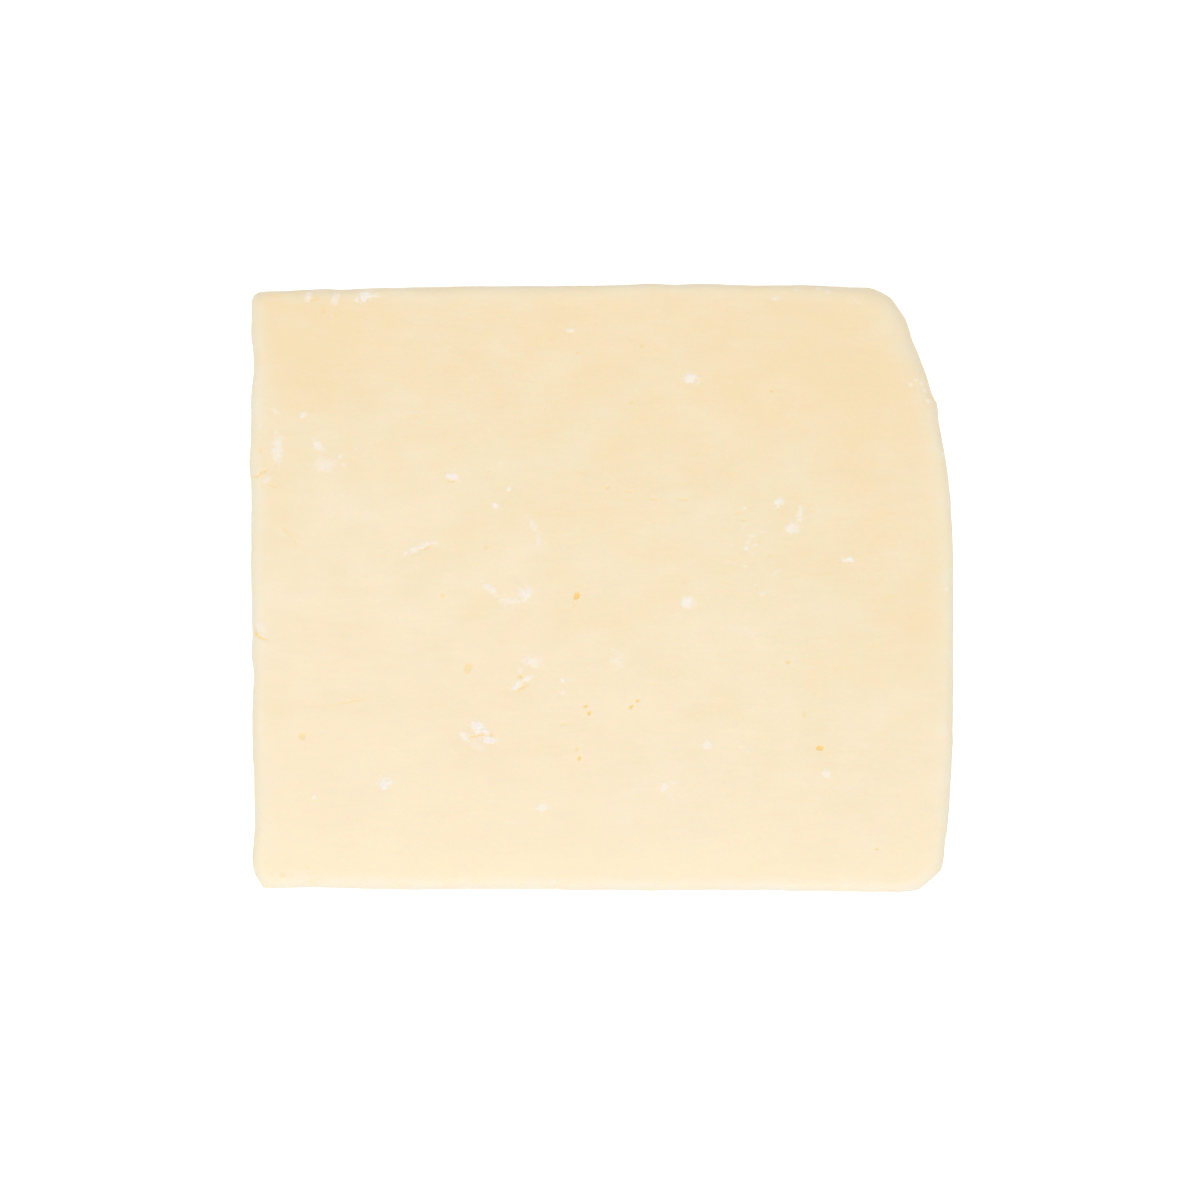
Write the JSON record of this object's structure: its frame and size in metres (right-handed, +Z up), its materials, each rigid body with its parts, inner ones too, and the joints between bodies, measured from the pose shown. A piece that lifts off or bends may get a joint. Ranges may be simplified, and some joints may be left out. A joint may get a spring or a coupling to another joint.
{
  "type": "cheddar block",
  "caption": "Rectangular block of pale cheddar lying flat, with soft worn edges, one slumped corner and small tears and pits in its cut faces.",
  "frame": {"origin": "middle of the block's plan, on the face it lies on", "axes": "+X along the length, +Y across the width towards the picture's upper edge, +Z up through the thickness"},
  "size_m": [0.1056, 0.091, 0.036],
  "materials": {
    "cheddar": "soft satin, slightly translucent, mottled cream and pale yellow"
  },
  "bodies": {
    "root": {"cheddar_block": "cheddar"}
  },
  "joints": []
}
